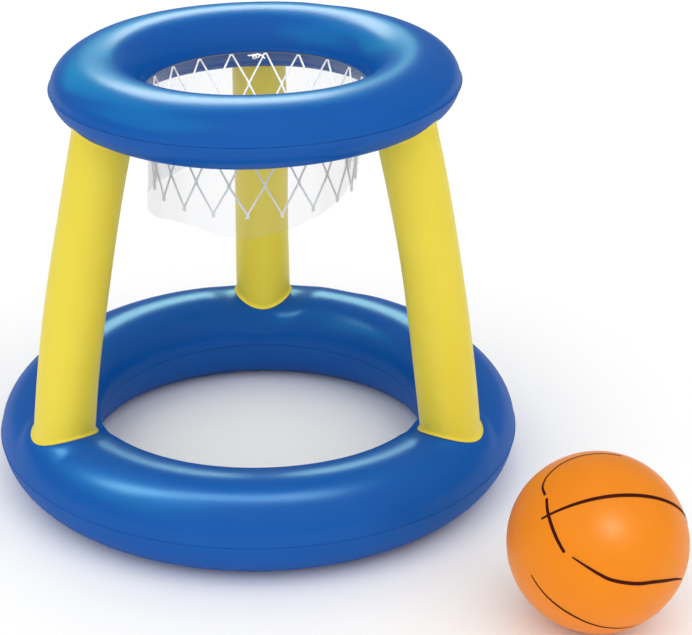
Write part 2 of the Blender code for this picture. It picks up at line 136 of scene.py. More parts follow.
def cloudy_pigment(tree, shader, face, depth, patch_width, detail):
    """Colour a body in soft patches of two close tones: the place that the pattern reads, and the pattern."""
    place = add_node(tree, "ShaderNodeTexCoord").outputs["Object"]
    cloud = add_node(tree, "ShaderNodeTexNoise", {"Vector": place, "Scale": 1 / patch_width,
                                                  "Detail": detail})
    pigment = add_node(tree, "ShaderNodeMix", {0: cloud.outputs["Fac"], 6: linear(face), 7: linear(depth)},
                       data_type="RGBA")
    tree.links.new(pigment.outputs[2], shader.inputs["Base Color"])
    return place, cloud.outputs["Fac"]


def calendered_vinyl(name, face, depth, roughness, shine, shine_tint, reflectance, shine_roughness=0.27):
    """Plasticised PVC sheet as it leaves the calender's polished rolls: a satin body under a thin clear
    gloss, with a faint orange peel a few millimetres across, a cloudy pigment and fine scuffs that dull it in
    patches."""
    material, tree, shader = standard_material(name, {
        "IOR": pvc_ior, "Specular Tint": linear(shine_tint), "Specular IOR Level": reflectance,
        "Coat Weight": shine, "Coat Roughness": shine_roughness, "Coat IOR": pvc_ior})
    place = cloudy_pigment(tree, shader, face, depth, patch_width=0.045, detail=3.0)[0]
    scuff = add_node(tree, "ShaderNodeTexNoise", {"Vector": place, "Scale": 1 / 0.012, "Detail": 5.0,
                                                  "Distortion": 0.6})
    dulling = add_node(tree, "ShaderNodeMapRange",
                       {"Value": scuff.outputs["Fac"], "From Min": 0.35, "From Max": 0.75,
                        "To Min": roughness - 0.03, "To Max": roughness + 0.06})
    tree.links.new(dulling.outputs["Result"], shader.inputs["Roughness"])
    peel = add_node(tree, "ShaderNodeTexNoise", {"Vector": place, "Scale": 1 / 0.004, "Detail": 1.0})
    bump = add_node(tree, "ShaderNodeBump", {"Height": peel.outputs["Fac"], "Strength": 0.35,
                                             "Distance": 0.00006})
    tree.links.new(bump.outputs["Normal"], shader.inputs["Normal"])
    tree.links.new(bump.outputs["Normal"], shader.inputs["Coat Normal"])
    return material


def weld_vinyl(name, face, depth, roughness, shine, shine_tint, reflectance, rib_pitch):
    """The same sheet where the die has pressed it: a little duller, with the die's fine ribs across it."""
    material = calendered_vinyl(name, face, depth, roughness, shine, shine_tint, reflectance)
    tree = material.node_tree
    shader = tree.nodes["Principled BSDF"]
    unrolled = add_node(tree, "ShaderNodeUVMap").outputs["UV"]
    along = add_node(tree, "ShaderNodeSeparateXYZ", {0: unrolled}).outputs["X"]
    turns = add_node(tree, "ShaderNodeMath", {0: along, 1: 2 * math.pi / rib_pitch}, operation="MULTIPLY")
    rib = add_node(tree, "ShaderNodeMath", {0: turns.outputs[0]}, operation="SINE")
    bump = add_node(tree, "ShaderNodeBump", {"Height": rib.outputs[0], "Strength": 0.8, "Distance": 0.00012})
    tree.links.new(bump.outputs["Normal"], shader.inputs["Normal"])
    return material


def run_lengths(points, spare=0.0):
    """The length run at each point of a line, with any spare added to each of its steps."""
    steps = np.linalg.norm(np.diff(points, axis=0), axis=1) + spare
    return np.concatenate([[0.0], np.cumsum(steps)])


def put_in_scene(name, data):
    """A new object of a mesh, a lamp or a camera, linked to the scene."""
    thing = bpy.data.objects.new(name, data)
    bpy.context.scene.collection.objects.link(thing)
    return thing


def built(name, build, sharp_degrees=None):
    """The object of a mesh build. Given an angle, it is smooth, with the edges above the angle sharp."""
    mesh = bpy.data.meshes.new(name)
    build.to_mesh(mesh)
    build.free()
    if sharp_degrees:
        mesh.shade_smooth()
        mesh.set_sharp_from_angle(angle=math.radians(sharp_degrees))
    return put_in_scene(name, mesh)


def skin(name, rows, lengths, depths, thickness=0.0, lip_rows=()):
    """A sheet over rows of points, each row a closed loop. It is thickened away from the side it faces, and
    its UVs are real distances along and across it in metres. Faces in lip_rows take the second material."""
    row_count, loop_count = rows.shape[:2]
    faces = [(row * loop_count + place, row * loop_count + (place + 1) % loop_count,
              (row + 1) * loop_count + (place + 1) % loop_count, (row + 1) * loop_count + place)
             for row in range(row_count - 1) for place in range(loop_count)]
    mesh = bpy.data.meshes.new(name)
    mesh.from_pydata(rows.reshape(-1, 3).tolist(), [], faces)
    uvs = np.array([[(lengths[place], depths[row]), (lengths[place + 1], depths[row]),
                     (lengths[place + 1], depths[row + 1]), (lengths[place], depths[row + 1])]
                    for row in range(row_count - 1) for place in range(loop_count)])
    mesh.uv_layers.new(name="UVMap").data.foreach_set("uv", uvs.ravel().astype(np.float32))
    marks = np.repeat([1 if row in lip_rows else 0 for row in range(row_count - 1)], loop_count)
    mesh.polygons.foreach_set("material_index", marks.astype(np.int32))
    mesh.shade_smooth()
    piece = put_in_scene(name, mesh)
    if thickness:
        wall = piece.modifiers.new("wall", "SOLIDIFY")
        wall.thickness = thickness
        wall.offset = -1.0
    return piece


def settle(piece, sharp_degrees=40.0):
    """Apply a piece's modifiers, and keep its true edges sharp."""
    graph = bpy.context.evaluated_depsgraph_get()
    mesh = bpy.data.meshes.new_from_object(piece.evaluated_get(graph))
    piece.modifiers.clear()
    piece.data = mesh
    mesh.shade_smooth()
    mesh.set_sharp_from_angle(angle=math.radians(sharp_degrees))


def valve_seat(chamber):
    """A valve's frame: its origin on the skin, Z out of the chamber and X towards the tether."""
    joints = {joint["name"]: joint for joint in frame["joints"]}
    outward = Vector(joints[chamber + "_plug_pull"]["axis"]).normalized()
    flap = joints[chamber + "_flap_swing"]
    across = -Vector(flap["axis"]).normalized()
    along = across.cross(outward)
    place = Vector(flap["pos_m"]) - along * flap_hinge_distance + outward * flap_hinge_depth
    return Matrix.Translation(place) @ Matrix((along, across, outward)).transposed().to_4x4()


stem_depth = 0.009
plug_clearance = 0.0003
flap_radius = 0.0034
flap_thickness = 0.0005
flap_tab = 0.0012
cad_flap_sides = 12
flap_hinge_distance = flap_radius * math.cos(math.pi / cad_flap_sides) + flap_tab
flap_hinge_depth = stem_depth + plug_clearance + flap_thickness / 2
valve_hole_radius = 0.0041
valve_hole_sides = 48
valve_hole_reach = 0.02


def punch(piece, chamber):
    """Cut the round hole that a chamber's valve is welded into."""
    build = bmesh.new()
    bmesh.ops.create_cone(build, cap_ends=True, segments=valve_hole_sides, radius1=valve_hole_radius,
                          radius2=valve_hole_radius, depth=valve_hole_reach, matrix=valve_seat(chamber))
    tool = built("punch", build)
    hole = piece.modifiers.new("hole", "BOOLEAN")
    hole.operation = "DIFFERENCE"
    hole.object = tool
    settle(piece)
    bpy.data.objects.remove(tool)


def finish(piece, body, slot, materials, *replaced):
    """Dress a piece, let it ride with its body and stand for its solid."""
    piece.data.materials.clear()
    for material in materials:
        piece.data.materials.append(material)
    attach(piece, body)
    if replaced:
        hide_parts(*replaced)


def section(outline, angle):
    """A ring's outline: radius and height at an angle from its outer seam. The inner half may be fuller than
    an oval."""
    inner_radius, crest_radius, outer_radius, bottom, top, seam_drop, fullness = outline
    along, upward = np.cos(angle), np.sin(angle)
    inward = np.maximum(0.0, -along)
    outer_part = crest_radius + (outer_radius - crest_radius) * np.maximum(0.0, along)
    radius = outer_part - (crest_radius - inner_radius) * inward ** (2 / fullness)
    share = np.where(along < 0, np.sign(upward) * np.abs(upward) ** (2 / fullness), upward)
    return radius, (top + bottom) / 2 + (top - bottom) / 2 * share - seam_drop * inward ** 2


def ease(share):
    """A share held between 0 and 1, with a soft start and end."""
    share = np.clip(share, 0.0, 1.0)
    return share ** 2 * (3 - 2 * share)


def waves(turn, side, terms):
    """A sum of waves round the hoop. Each has its height, its count of crests, its phase and more by side."""
    return sum(height * np.sin(count * turn + phase + by_side * side)
               for height, count, phase, by_side in terms)


def foot_press(places):
    """How far the feet move the base ring's upper sheet: up on their outer sides, down at the rear foot."""
    lift = 0.0
    for azimuth, rise, reach, fade in zip(foot_azimuths, foot_rises, foot_reaches, foot_fades):
        outward = np.array([math.cos(math.radians(azimuth)), math.sin(math.radians(azimuth))])
        away = places - outward * (base_crest_radius + foot_outset)
        near = ease((reach - np.hypot(away[..., 0], away[..., 1])) / fade)
        lift = lift + near * (rise + foot_tilt * (away @ outward))
    return lift


def clear_of_valve(points, chamber):
    """0 at a chamber's valve and 1 a little way off, so that the skin stays level where it is welded."""
    place = valve_seat(chamber).translation
    away = np.hypot(points[..., 0] - place.x, points[..., 1] - place.y)
    return 1 - np.exp(-(away / valve_calm) ** 2)


def lean(points):
    """The hoop as it stands: the base wider at its left and raised at its rear, the top ring higher at its
    right."""
    across, along, height = points[..., 0] - hoop_axis[0], points[..., 1] - hoop_axis[1], points[..., 2]
    share = ease((height - lean_start) / (lean_full - lean_start))
    rear = np.clip(along / base_crest_radius, 0.0, 1.0) ** 2 * np.clip(height / base_height, 0.0, 1.0)
    moved = np.array(points, float)
    moved[..., 0] -= base_spread * (1 - share) * (np.minimum(across, 0.0) / base_outer_radius) ** 2
    moved[..., 2] += share * lean_slope * (across + lean_pivot) * clear_of_valve(points, "top_ring")
    moved[..., 2] += base_rear_rise * (1 - share) * rear * clear_of_valve(points, "base_ring")
    return moved


def pucker_fade(away):
    """How strongly a sheet puckers at a distance from its weld: not at all on it, and most just beside it."""
    return (1 - np.exp(-(away / pucker_start) ** 2)) * np.exp(-(away / pucker_reach) ** 2)


def lip_places(row_count):
    """The rows of faces that are the lips at a sheet's two ends."""
    last = row_count - 1
    return [*range(lip_steps), *range(last - lip_steps, last)]


def ring_panel(name, side, outline, weld, floor=None, pressed=False):
    """The upper (side 1) or lower (side -1) sheet of a ring, from the tip of its outer lip to that of its
    inner lip. At the front the outer lip is trimmed close."""
    inner_radius, crest_radius, outer_radius, bottom, top, seam_drop, fullness = outline
    outer_lip, inner_lip, inner_gap, pucker, pucker_count = weld
    half_height = (top - bottom) / 2
    start = math.asin((sheet_thickness + weld_gap / 2) / half_height)
    finish_angle = math.pi - math.asin(((sheet_thickness + inner_gap / 2) / half_height) ** (fullness / 2))
    angles = side * np.linspace(start, finish_angle, section_stations)
    radius, height = section(outline, angles)
    walls = run_lengths(np.column_stack([radius, height]))
    outer_cusp, inner_cusp = outer_lip * cusp_share, min(inner_lip * cusp_share, inner_cusp_most)
    cusp = outer_cusp * np.clip(1 - walls / lip_cusp, 0, 1) ** 2
    radius = radius - inner_cusp * np.clip(1 - (walls[-1] - walls) / lip_cusp, 0, 1) ** 2
    ahead = section(outline, angles + tangent_step * side)
    behind = section(outline, angles - tangent_step * side)
    tangent = np.subtract(ahead, behind)
    tangent /= np.hypot(*tangent)
    normal = side * np.array([tangent[1], -tangent[0]])
    if floor is not None:
        height = np.maximum(height, floor)
    edge = np.concatenate([outer_cusp + (outer_lip - outer_cusp) * lip_shares, cusp, np.zeros(lip_steps)])
    lip_in = inner_radius - inner_cusp - (inner_lip - inner_cusp) * lip_shares[::-1]
    outer_face = float(section(outline, 0.0)[1]) + side * (sheet_thickness + weld_gap / 2)
    inner_face = float(section(outline, math.pi)[1]) + side * (sheet_thickness + inner_gap / 2)
    droop = lip_droop_shares * sheet_thickness * side
    all_radius = np.concatenate([np.full(lip_steps, outer_radius), radius, lip_in])
    all_height = np.concatenate([outer_face + droop, height, inner_face + droop[::-1]])
    arc = run_lengths(np.column_stack([all_radius + edge, all_height]))
    still = np.pad(np.ones(len(arc) - 2 * (lip_steps + 1)), lip_steps + 1)
    fade = pucker_fade(arc - arc[lip_steps]) + inner_pucker_share * pucker_fade(arc[-lip_steps - 1] - arc)
    azimuths = np.linspace(0.0, 2 * math.pi, ring_stations + 1)
    turn = azimuths[:-1]
    phase = pucker_count * turn + waves(turn, side, pucker_drift_waves)
    tuck = -(0.5 + 0.5 * np.cos(phase)) * (pucker_evenness_share + waves(turn, side, pucker_depth_waves))
    shift = (still * pucker * fade)[:, None] * tuck
    if floor is None:
        bulge = np.sin(np.abs(np.pad(angles, lip_steps, constant_values=(0.0, math.pi)))) ** 2
        shift = shift + bulge[:, None] * waves(turn, side, swell_waves)
    from_front = (turn - 1.5 * math.pi) / lip_trim_reach
    trim = 1 - lip_trim_share * np.exp(-from_front ** 4)
    r = all_radius[:, None] + edge[:, None] * trim + np.pad(normal[0], lip_steps)[:, None] * shift
    z = all_height[:, None] + np.pad(normal[1], lip_steps)[:, None] * shift
    if floor is not None:
        z = np.maximum(z, floor)
    rows = np.stack([r * np.cos(turn), r * np.sin(turn), z], axis=2)
    if pressed:
        belly = np.clip((z - (top + bottom) / 2) / (half_height * belly_share), 0.0, 1.0)
        rows[:, :, 2] += foot_press(rows[:, :, :2]) * belly
    rows[:, :, :2] += hoop_axis
    rows = lean(rows)
    if side < 0:
        rows, arc = rows[::-1], arc[::-1]
    return skin(name, rows, azimuths * outer_radius, arc, sheet_thickness, lip_places(len(arc)))


ring_blue = calendered_vinyl("blue_pvc_sheet", "0F58AB", "0C53A4", roughness=0.4, shine=0.3,
                             shine_tint="FFFFFF", reflectance=0.0)
# The weld's tone is a touch lighter than the sheet's. This is partly the paler thin edge of a weld, and
# partly painted light that makes the lip a pale line and lifts the shade in its crease.
ring_weld = weld_vinyl("blue_pvc_weld", "115AAD", "0E55A6", roughness=0.42, shine=0.25,
                       shine_tint="FFFFFF", reflectance=0.0, rib_pitch=weld_rib_pitch)
base_outline = (base_inner_radius, base_crest_radius, base_outer_radius, -base_floor_flat, base_height, 0.0,
                base_inner_fullness)
base_weld = (base_outer_lip, base_inner_lip, weld_gap, base_pucker, base_pucker_count)
base_upper = ring_panel("base_ring_upper_skin", 1, base_outline, base_weld, pressed=True)
punch(base_upper, "base_ring")
finish(base_upper, "hoop", "ring_vinyl", (ring_blue, ring_weld), "base_ring_upper_panel")
base_lower = ring_panel("base_ring_lower_skin", -1, base_outline, base_weld, floor=0.0)
settle(base_lower)
finish(base_lower, "hoop", "ring_vinyl", (ring_blue, ring_weld), "base_ring_lower_panel")

# Top ring, the hoop itself. It is made as the base ring is, of a narrower pair of sheets, and the clear
# skirt's flange is welded between them along the inner edge, which hangs a little below mid height.

top_outer_radius = 0.2193
top_inner_radius = 0.1220
top_crest_radius = (top_outer_radius + top_inner_radius) / 2
top_inner_fullness = 2.0
top_ring_foot = 0.4212
hoop_height = 0.4914
top_outer_lip = 0.0017
top_inner_lip = 0.0025
top_seam_drop = 0.0067
skirt_flange_room = 0.0007
top_pucker = 0.0003
top_pucker_count = 54

top_outline = (top_inner_radius, top_crest_radius, top_outer_radius, top_ring_foot, hoop_height,
               top_seam_drop, top_inner_fullness)
top_weld = (top_outer_lip, top_inner_lip, skirt_flange_room, top_pucker, top_pucker_count)
top_upper = ring_panel("top_ring_upper_skin", 1, top_outline, top_weld)
punch(top_upper, "top_ring")
finish(top_upper, "hoop", "ring_vinyl", (ring_blue, ring_weld), "top_ring_upper_panel")
top_lower = ring_panel("top_ring_lower_skin", -1, top_outline, top_weld)
settle(top_lower)
finish(top_lower, "hoop", "ring_vinyl", (ring_blue, ring_weld), "top_ring_lower_panel")

# Three legs, inflated columns of yellow PVC sheet. Each is a rolled rectangle closed by an overlap weld
# down its back, and its ends are spread into a narrow lip that is welded onto the rings, so it lies on
# their curve. Air pressure keeps the column round and the lean between the rings bows it outwards.

leg_foot_radius = 0.0333
leg_head_radius = 0.0315
leg_head_outset = 0.01005
leg_bow = 0.0061
leg_lip_width = 0.0028
leg_lip_round = 0.0035
leg_stations = 60
leg_sides = 128
leg_azimuths = dict(zip(("front_left_leg", "front_right_leg", "rear_leg"), foot_azimuths))
leg_seam_facings = {"front_left_leg": 62.0, "front_right_leg": 118.0, "rear_leg": 52.0}
leg_seam_width = 0.004
leg_seam_end = 1.5
leg_lip_proud = 0.00008
leg_lip_shares = (0.45, 0.7, 0.97, 1.0)
leg_curve_shares = (0.25, 0.5, 0.75)
leg_crease_depth = 0.0005
leg_crease_reach = 0.010
leg_crease_count = 13
leg_crease_drift = 1.8
leg_slack_waves = ((0.00035, 2, 9, 1), (0.00025, 3, -7, 0))
leg_spare_step = 0.0004
seat_reach_share = 0.995


def seat_height(outline, side, radius):
    """Height of a ring's skin at a distance from the hoop's axis."""
    inner_radius, crest_radius, outer_radius, bottom, top, seam_drop, fullness = outline
    outward = np.clip((radius - crest_radius) / (outer_radius - crest_radius), 0.0, seat_reach_share)
    inward = np.clip((crest_radius - radius) / (crest_radius - inner_radius), 0.0, seat_reach_share)
    inward = inward ** (fullness / 2)
    rise = np.where(radius > crest_radius, np.sqrt(1 - outward ** 2), (1 - inward ** 2) ** (1 / fullness))
    return (top + bottom) / 2 + side * (top - bottom) / 2 * rise - seam_drop * inward ** 2


def leg_lip(wall, outward, outline, side, shares):
    """The lip that spreads from a leg's wall onto a ring: points from the wall out along the ring's skin."""
    lift = side * (sheet_thickness + leg_lip_proud)
    points = []
    for share in shares:
        flat = wall[:, :2] + outward * leg_lip_width * share
        height = seat_height(outline, side, np.hypot(flat[:, 0], flat[:, 1])) + lift
        if side > 0:
            height = height + foot_press(flat)
        points.append(np.column_stack([flat, height]))
    return points


def leg_skin(name):
    """A leg's wall with a spread lip at each end."""
    azimuth = math.radians(leg_azimuths[name])
    outward = np.array([math.cos(azimuth), math.sin(azimuth)])
    foot_distance = base_crest_radius + foot_outset
    head_distance = top_crest_radius + leg_head_outset
    angles = azimuth + np.linspace(0.0, 2 * math.pi, leg_sides + 1)
    spin = angles[:-1]
    across = np.column_stack([np.cos(spin), np.sin(spin)])
    facing = math.radians(leg_seam_facings[name])
    off_seam = (spin - facing + math.pi) % (2 * math.pi) - math.pi
    from_overlap = np.abs(off_seam * leg_foot_radius) / (leg_seam_width / 2)
    overlap = sheet_thickness * np.clip(leg_seam_end - from_overlap, 0.0, 1.0)
    foot_wall = outward * foot_distance + across * leg_foot_radius
    head_wall = outward * head_distance + across * leg_head_radius
    foot = seat_height(base_outline, 1, np.hypot(foot_wall[:, 0], foot_wall[:, 1])) + foot_press(foot_wall)
    head = seat_height(top_outline, -1, np.hypot(head_wall[:, 0], head_wall[:, 1]))
    length = head - foot
    rows = []
    for share in 0.5 - 0.5 * np.cos(np.linspace(0.0, math.pi, leg_stations)):
        low, high = foot + leg_lip_round, head - leg_lip_round
        height = low + (high - low) * share
        part = (height - foot) / length
        distance = foot_distance + (head_distance - foot_distance) * part + leg_bow * 4 * part * (1 - part)
        from_end = np.minimum(height - foot, head - height)
        drift = leg_crease_drift * np.sin(2 * spin + azimuth)
        crease = 0.5 + 0.5 * np.cos(leg_crease_count * spin + drift)
        crease = crease * np.exp(-(from_end / leg_crease_reach) ** 2)
        slack = sum(depth * np.sin(count * spin + twist * part + own * azimuth)
                    for depth, count, twist, own in leg_slack_waves)
        wall = leg_foot_radius + (leg_head_radius - leg_foot_radius) * part
        radius = wall - leg_crease_depth * crease + slack + overlap
        flat = outward * distance[:, None] + across * radius[:, None]
        rows.append(np.column_stack([flat, height]))
    ends = ((base_outline, 1, foot_wall, rows[0]), (top_outline, -1, head_wall, rows[-1]))
    for outline, side, wall, last in ends:
        tips = leg_lip(wall, across, outline, side, leg_lip_shares)
        corner = leg_lip(wall, across, outline, side, (0.0,))[0]
        curve = [(1 - share) ** 2 * last + 2 * share * (1 - share) * corner + share ** 2 * tips[0]
                 for share in leg_curve_shares]
        if side > 0:
            rows = tips[::-1] + curve[::-1] + rows
        else:
            rows = rows + curve + tips
    rows = np.array(rows)
    rows[:, :, :2] += hoop_axis
    rows = lean(rows)
    depths = run_lengths(rows.mean(axis=1), leg_spare_step)
    lips = lip_places(len(rows))
    return skin(name + "_skin", rows, (angles - azimuth) * leg_foot_radius, depths, sheet_thickness, lips)


leg_yellow = calendered_vinyl("yellow_pvc_sheet", "E8D648", "E3CF3F", roughness=0.42, shine=0.12,
                              shine_tint="FFF4C8", reflectance=0.3)
# The weld's tone is a touch lighter than the sheet's. This is partly the paler single-layer flange, and
# partly a painted highlight for the bright edge of the lip.
leg_weld = weld_vinyl("yellow_pvc_weld", "EADD4E", "E4D43E", roughness=0.45, shine=0.1,
                      shine_tint="FFF4C8", reflectance=0.3, rib_pitch=weld_rib_pitch)
for leg_name in leg_azimuths:
    leg = leg_skin(leg_name)
    punch(leg, leg_name)
    finish(leg, "hoop", "leg_vinyl", (leg_yellow, leg_weld), leg_name)
rear_leg = leg

# Clear skirt, a sleeve of soft clear PVC film. Its top edge is folded over the net's loops as a narrow hem
# and welded into the top ring's inner seam; below that it hangs free in shallow folds, and its lower edge
# is cut by hand and waves up and down.

net_loops = 19
first_loop = math.radians(85.7)
cord_thickness = 0.0026
film_thickness = 0.00022
film_room = 0.0003
hem_depth = 0.009
hem_bend = 0.0012
hem_fold_half = 0.00014
flange_round = 0.0006
flange_overrun = 0.0003
skirt_bend = 0.0009
skirt_drop = 0.001
cad_ring_sides = 36
cad_film_sides = 2 * net_loops
net_row_drops = (0.0355, 0.0735, 0.107)
hem_height = float(section(top_outline, math.pi)[1])
weld_tip = top_inner_radius - top_inner_lip
film_weld_room = 0.0006
film_top_radius = weld_tip * math.cos(math.pi / cad_ring_sides) - film_weld_room
net_top_radius = film_top_radius * math.cos(math.pi / cad_film_sides) - cord_thickness / 2 - film_room
net_taper = 0.004
net_right_draw = 0.0048
net_draw_rate = 2.5
skirt_mean_depth = 0.1165
skirt_edge_waves = ((-0.0134, -0.0043), (-0.0039, 0.0005), (-0.0037, 0.0035), (0.0, 0.0009),
                    (0.0004, -0.0010), (-0.0006, 0.0022))
film_fold_waves = ((0.22, 19, 0.5, 0.0), (0.16, 8, 1.9, 0.0), (0.12, 13, 4.0, 0.0))
film_fold_depth = 0.0022
film_flare = 0.0006
film_left_flare = 0.0055
film_fold_power = 1.3
film_left_power = 1.6
film_flare_start_share = 0.12
film_first_share = 0.04
film_levels = 30
film_stations = 304
film_spare_step = 0.0001


def net_radius(depth, azimuth):
    """Radius at which the net hangs at a depth below the hem. It is drawn in on its right side."""
    hang = np.clip(depth / net_row_drops[-1], 0.0, 1.0)
    right = ((1 + np.cos(azimuth)) / 2) ** 2
    drawn = net_right_draw * right * np.clip(hang * net_draw_rate, 0.0, 1.0)
    return net_top_radius - net_taper * hang - drawn


def skirt_depth(azimuth):
    """Depth of the film's free edge below the hem."""
    depth = skirt_mean_depth
    for order, (level, upright) in enumerate(skirt_edge_waves, 1):
        depth = depth + level * np.cos(order * azimuth) + upright * np.sin(order * azimuth)
    return depth


azimuths = np.linspace(0.0, 2 * math.pi, film_stations + 1)
turn = azimuths[:-1]
inner_hem = net_top_radius - cord_thickness / 2 - film_room
flange_reach = top_inner_radius + flange_overrun
profile = [(inner_hem, -hem_depth), (inner_hem, -hem_depth / 2), (inner_hem, -hem_bend),
           (inner_hem + hem_bend / 3, -hem_bend / 6), (inner_hem + hem_bend, hem_fold_half),
           (flange_reach - flange_round, hem_fold_half), (flange_reach, 0.0),
           (flange_reach - flange_round, -hem_fold_half), (film_top_radius + skirt_bend, -hem_fold_half),
           (film_top_radius, -skirt_drop)]
film_rows = []
for radius, height in profile:
    level = np.full(film_stations, hem_height + height)
    film_rows.append(np.column_stack([radius * np.cos(turn), radius * np.sin(turn), level]))
free_depth = skirt_depth(turn)
folds = 0.5 + waves(turn, 0, film_fold_waves)
for share in np.linspace(film_first_share, 1.0, film_levels):
    depth = free_depth * share
    to_left = ((1 - np.cos(turn)) / 2) ** 2
    flare = film_flare + film_fold_depth * folds * share ** film_fold_power
    flare = flare + film_left_flare * share ** film_left_power * to_left
    flare = flare * np.clip(share / film_flare_start_share, 0, 1)
    radius = net_radius(depth, turn) + cord_thickness / 2 + film_room + flare
    film_rows.append(np.column_stack([radius * np.cos(turn), radius * np.sin(turn), hem_height - depth]))
film_rows = np.array(film_rows)[::-1].copy()
film_rows[:, :, :2] += hoop_axis
film_rows = lean(film_rows)
film_lengths = azimuths * film_top_radius
film_depths = run_lengths(film_rows.mean(axis=1), film_spare_step)

# Clear PVC film has little body of its own: it shows as a faint smoky haze that thickens where it turns away.
clear_film, film_tree, film_shader = standard_material("clear_pvc_film", {
    "Base Color": linear("A4ACBE"), "IOR": pvc_ior, "Roughness": 0.12})
film_edge = add_node(film_tree, "ShaderNodeLayerWeight", {"Blend": 0.5})
film_haze = add_node(film_tree, "ShaderNodeMapRange",
                     {"Value": film_edge.outputs["Facing"], "From Min": 0.0, "From Max": 1.0,
                      "To Min": 0.045, "To Max": 0.22})
film_tree.links.new(film_haze.outputs["Result"], film_shader.inputs["Alpha"])
film_place = add_node(film_tree, "ShaderNodeTexCoord").outputs["Object"]
film_wrinkle = add_node(film_tree, "ShaderNodeTexNoise", {"Vector": film_place, "Scale": 1 / 0.02,
                                                          "Detail": 2.0})
film_bump = add_node(film_tree, "ShaderNodeBump", {"Height": film_wrinkle.outputs["Fac"], "Strength": 0.5,
                                                   "Distance": 0.0008})
film_tree.links.new(film_bump.outputs["Normal"], film_shader.inputs["Normal"])
skirt = skin("clear_skirt_film", film_rows, film_lengths, film_depths, film_thickness)
settle(skirt)
finish(skirt, "hoop", "clear_film", (clear_film,), "clear_skirt")

# Net of white polyester cord. Each of its loops passes through the hem, and the strands that meet are
# twisted round each other at three rows of joints, which leaves diamonds between them. The ends are cut
# a few millimetres below the last joint.

cord_radius = 0.00105
joint_length = 0.0046
joint_turns = 1.5
joint_points = 9
joint_unevenness = 0.0006
joint_loop_phase = 2.3
joint_row_phase = 1.7
grip_share = 0.92
loop_round = 0.0021
loop_drop = 0.0012
loop_side_degrees = (30, 60, 80)
tail_length = 0.0012
tail_spread = 0.0004
tail_spread_swing = 0.0003
tail_loop_phase = 3.1
tail_bend_share = 0.6
tail_splay = 1.8
tail_proud = 0.0003
cord_sides = 10
cord_step = 0.0011
cord_lay = 0.0055
cord_plies = 3
cord_fibre = 0.0006
cord_sharp_degrees = 50
taper_reach_share = 0.6
curve_steps = 12


def tube(name, paths, radius, sides, taper=0.0):
    """Round cords swept along paths of points, their ends closed. UVs are turns round a cord and metres
    along it."""
    vertices, faces, uvs = [], [], []
    for path in paths:
        path = np.asarray(path, float)
        step = np.gradient(path, axis=0)
        step /= np.linalg.norm(step, axis=1)[:, None]
        run = run_lengths(path)
        frame_side = np.cross(step[0], (0.0, 0.0, 1.0)) + 1e-6
        first = len(vertices)
        count = len(path)
        for index in range(count):
            frame_side = frame_side - step[index] * np.dot(frame_side, step[index])
            frame_side /= np.linalg.norm(frame_side)
            frame_up = np.cross(step[index], frame_side)
            end = min(run[index], run[-1] - run[index])
            thin = radius * (1.0 - taper * math.exp(-end / (radius * taper_reach_share)))
            for side in range(sides):
                angle = 2 * math.pi * side / sides
                outward = math.cos(angle) * frame_side + math.sin(angle) * frame_up
                vertices.append(path[index] + thin * outward)
        for index in range(count - 1):
            for side in range(sides):
                a, b = first + index * sides, first + (index + 1) * sides
                following = (side + 1) % sides
                faces.append((a + side, a + following, b + following, b + side))
                uvs += [(side / sides, run[index]), ((side + 1) / sides, run[index]),
                        ((side + 1) / sides, run[index + 1]), (side / sides, run[index + 1])]
        faces.append(tuple(first + side for side in reversed(range(sides))))
        uvs += [(side / sides, 0.0) for side in reversed(range(sides))]
        faces.append(tuple(first + (count - 1) * sides + side for side in range(sides)))
        uvs += [(side / sides, run[-1]) for side in range(sides)]
    mesh = bpy.data.meshes.new(name)
    mesh.from_pydata([tuple(vertex) for vertex in vertices], [], faces)
    mesh.uv_layers.new(name="UVMap").data.foreach_set("uv", np.array(uvs, np.float32).ravel())
    mesh.shade_smooth()
    mesh.set_sharp_from_angle(angle=math.radians(cord_sharp_degrees))
    return put_in_scene(name, mesh)


def evenly(points, step):
    """Points at even steps along a smooth curve through the given ones."""
    points = np.asarray(points, float)
    ends = np.vstack([2 * points[0] - points[1], points, 2 * points[-1] - points[-2]])
    fine = []
    for index in range(1, len(ends) - 2):
        before, start, stop, after = ends[index - 1:index + 3]
        for share in np.linspace(0.0, 1.0, curve_steps, endpoint=False):
            bend = 2 * before - 5 * start + 4 * stop - after
            twist = 3 * start - before - 3 * stop + after
            fine.append(0.5 * (2 * start + (stop - before) * share + bend * share ** 2 + twist * share ** 3))
    fine.append(points[-1])
    fine = np.array(fine)
    run = run_lengths(fine)
    at = np.linspace(0.0, run[-1], max(4, int(run[-1] / step)))
    return np.column_stack([np.interp(at, run, fine[:, axis]) for axis in range(3)])


def on_net(azimuth, across, depth, proud=0.0):
    """A point of the net: so far round from an azimuth, below the hem, and out from the net's own surface."""
    radius = float(net_radius(depth, azimuth)) + proud
    angle = azimuth + across / radius
    aside, along = radius * math.cos(angle), radius * math.sin(angle)
    return tuple(lean(np.array([hoop_axis[0] + aside, hoop_axis[1] + along, hem_height - depth])))


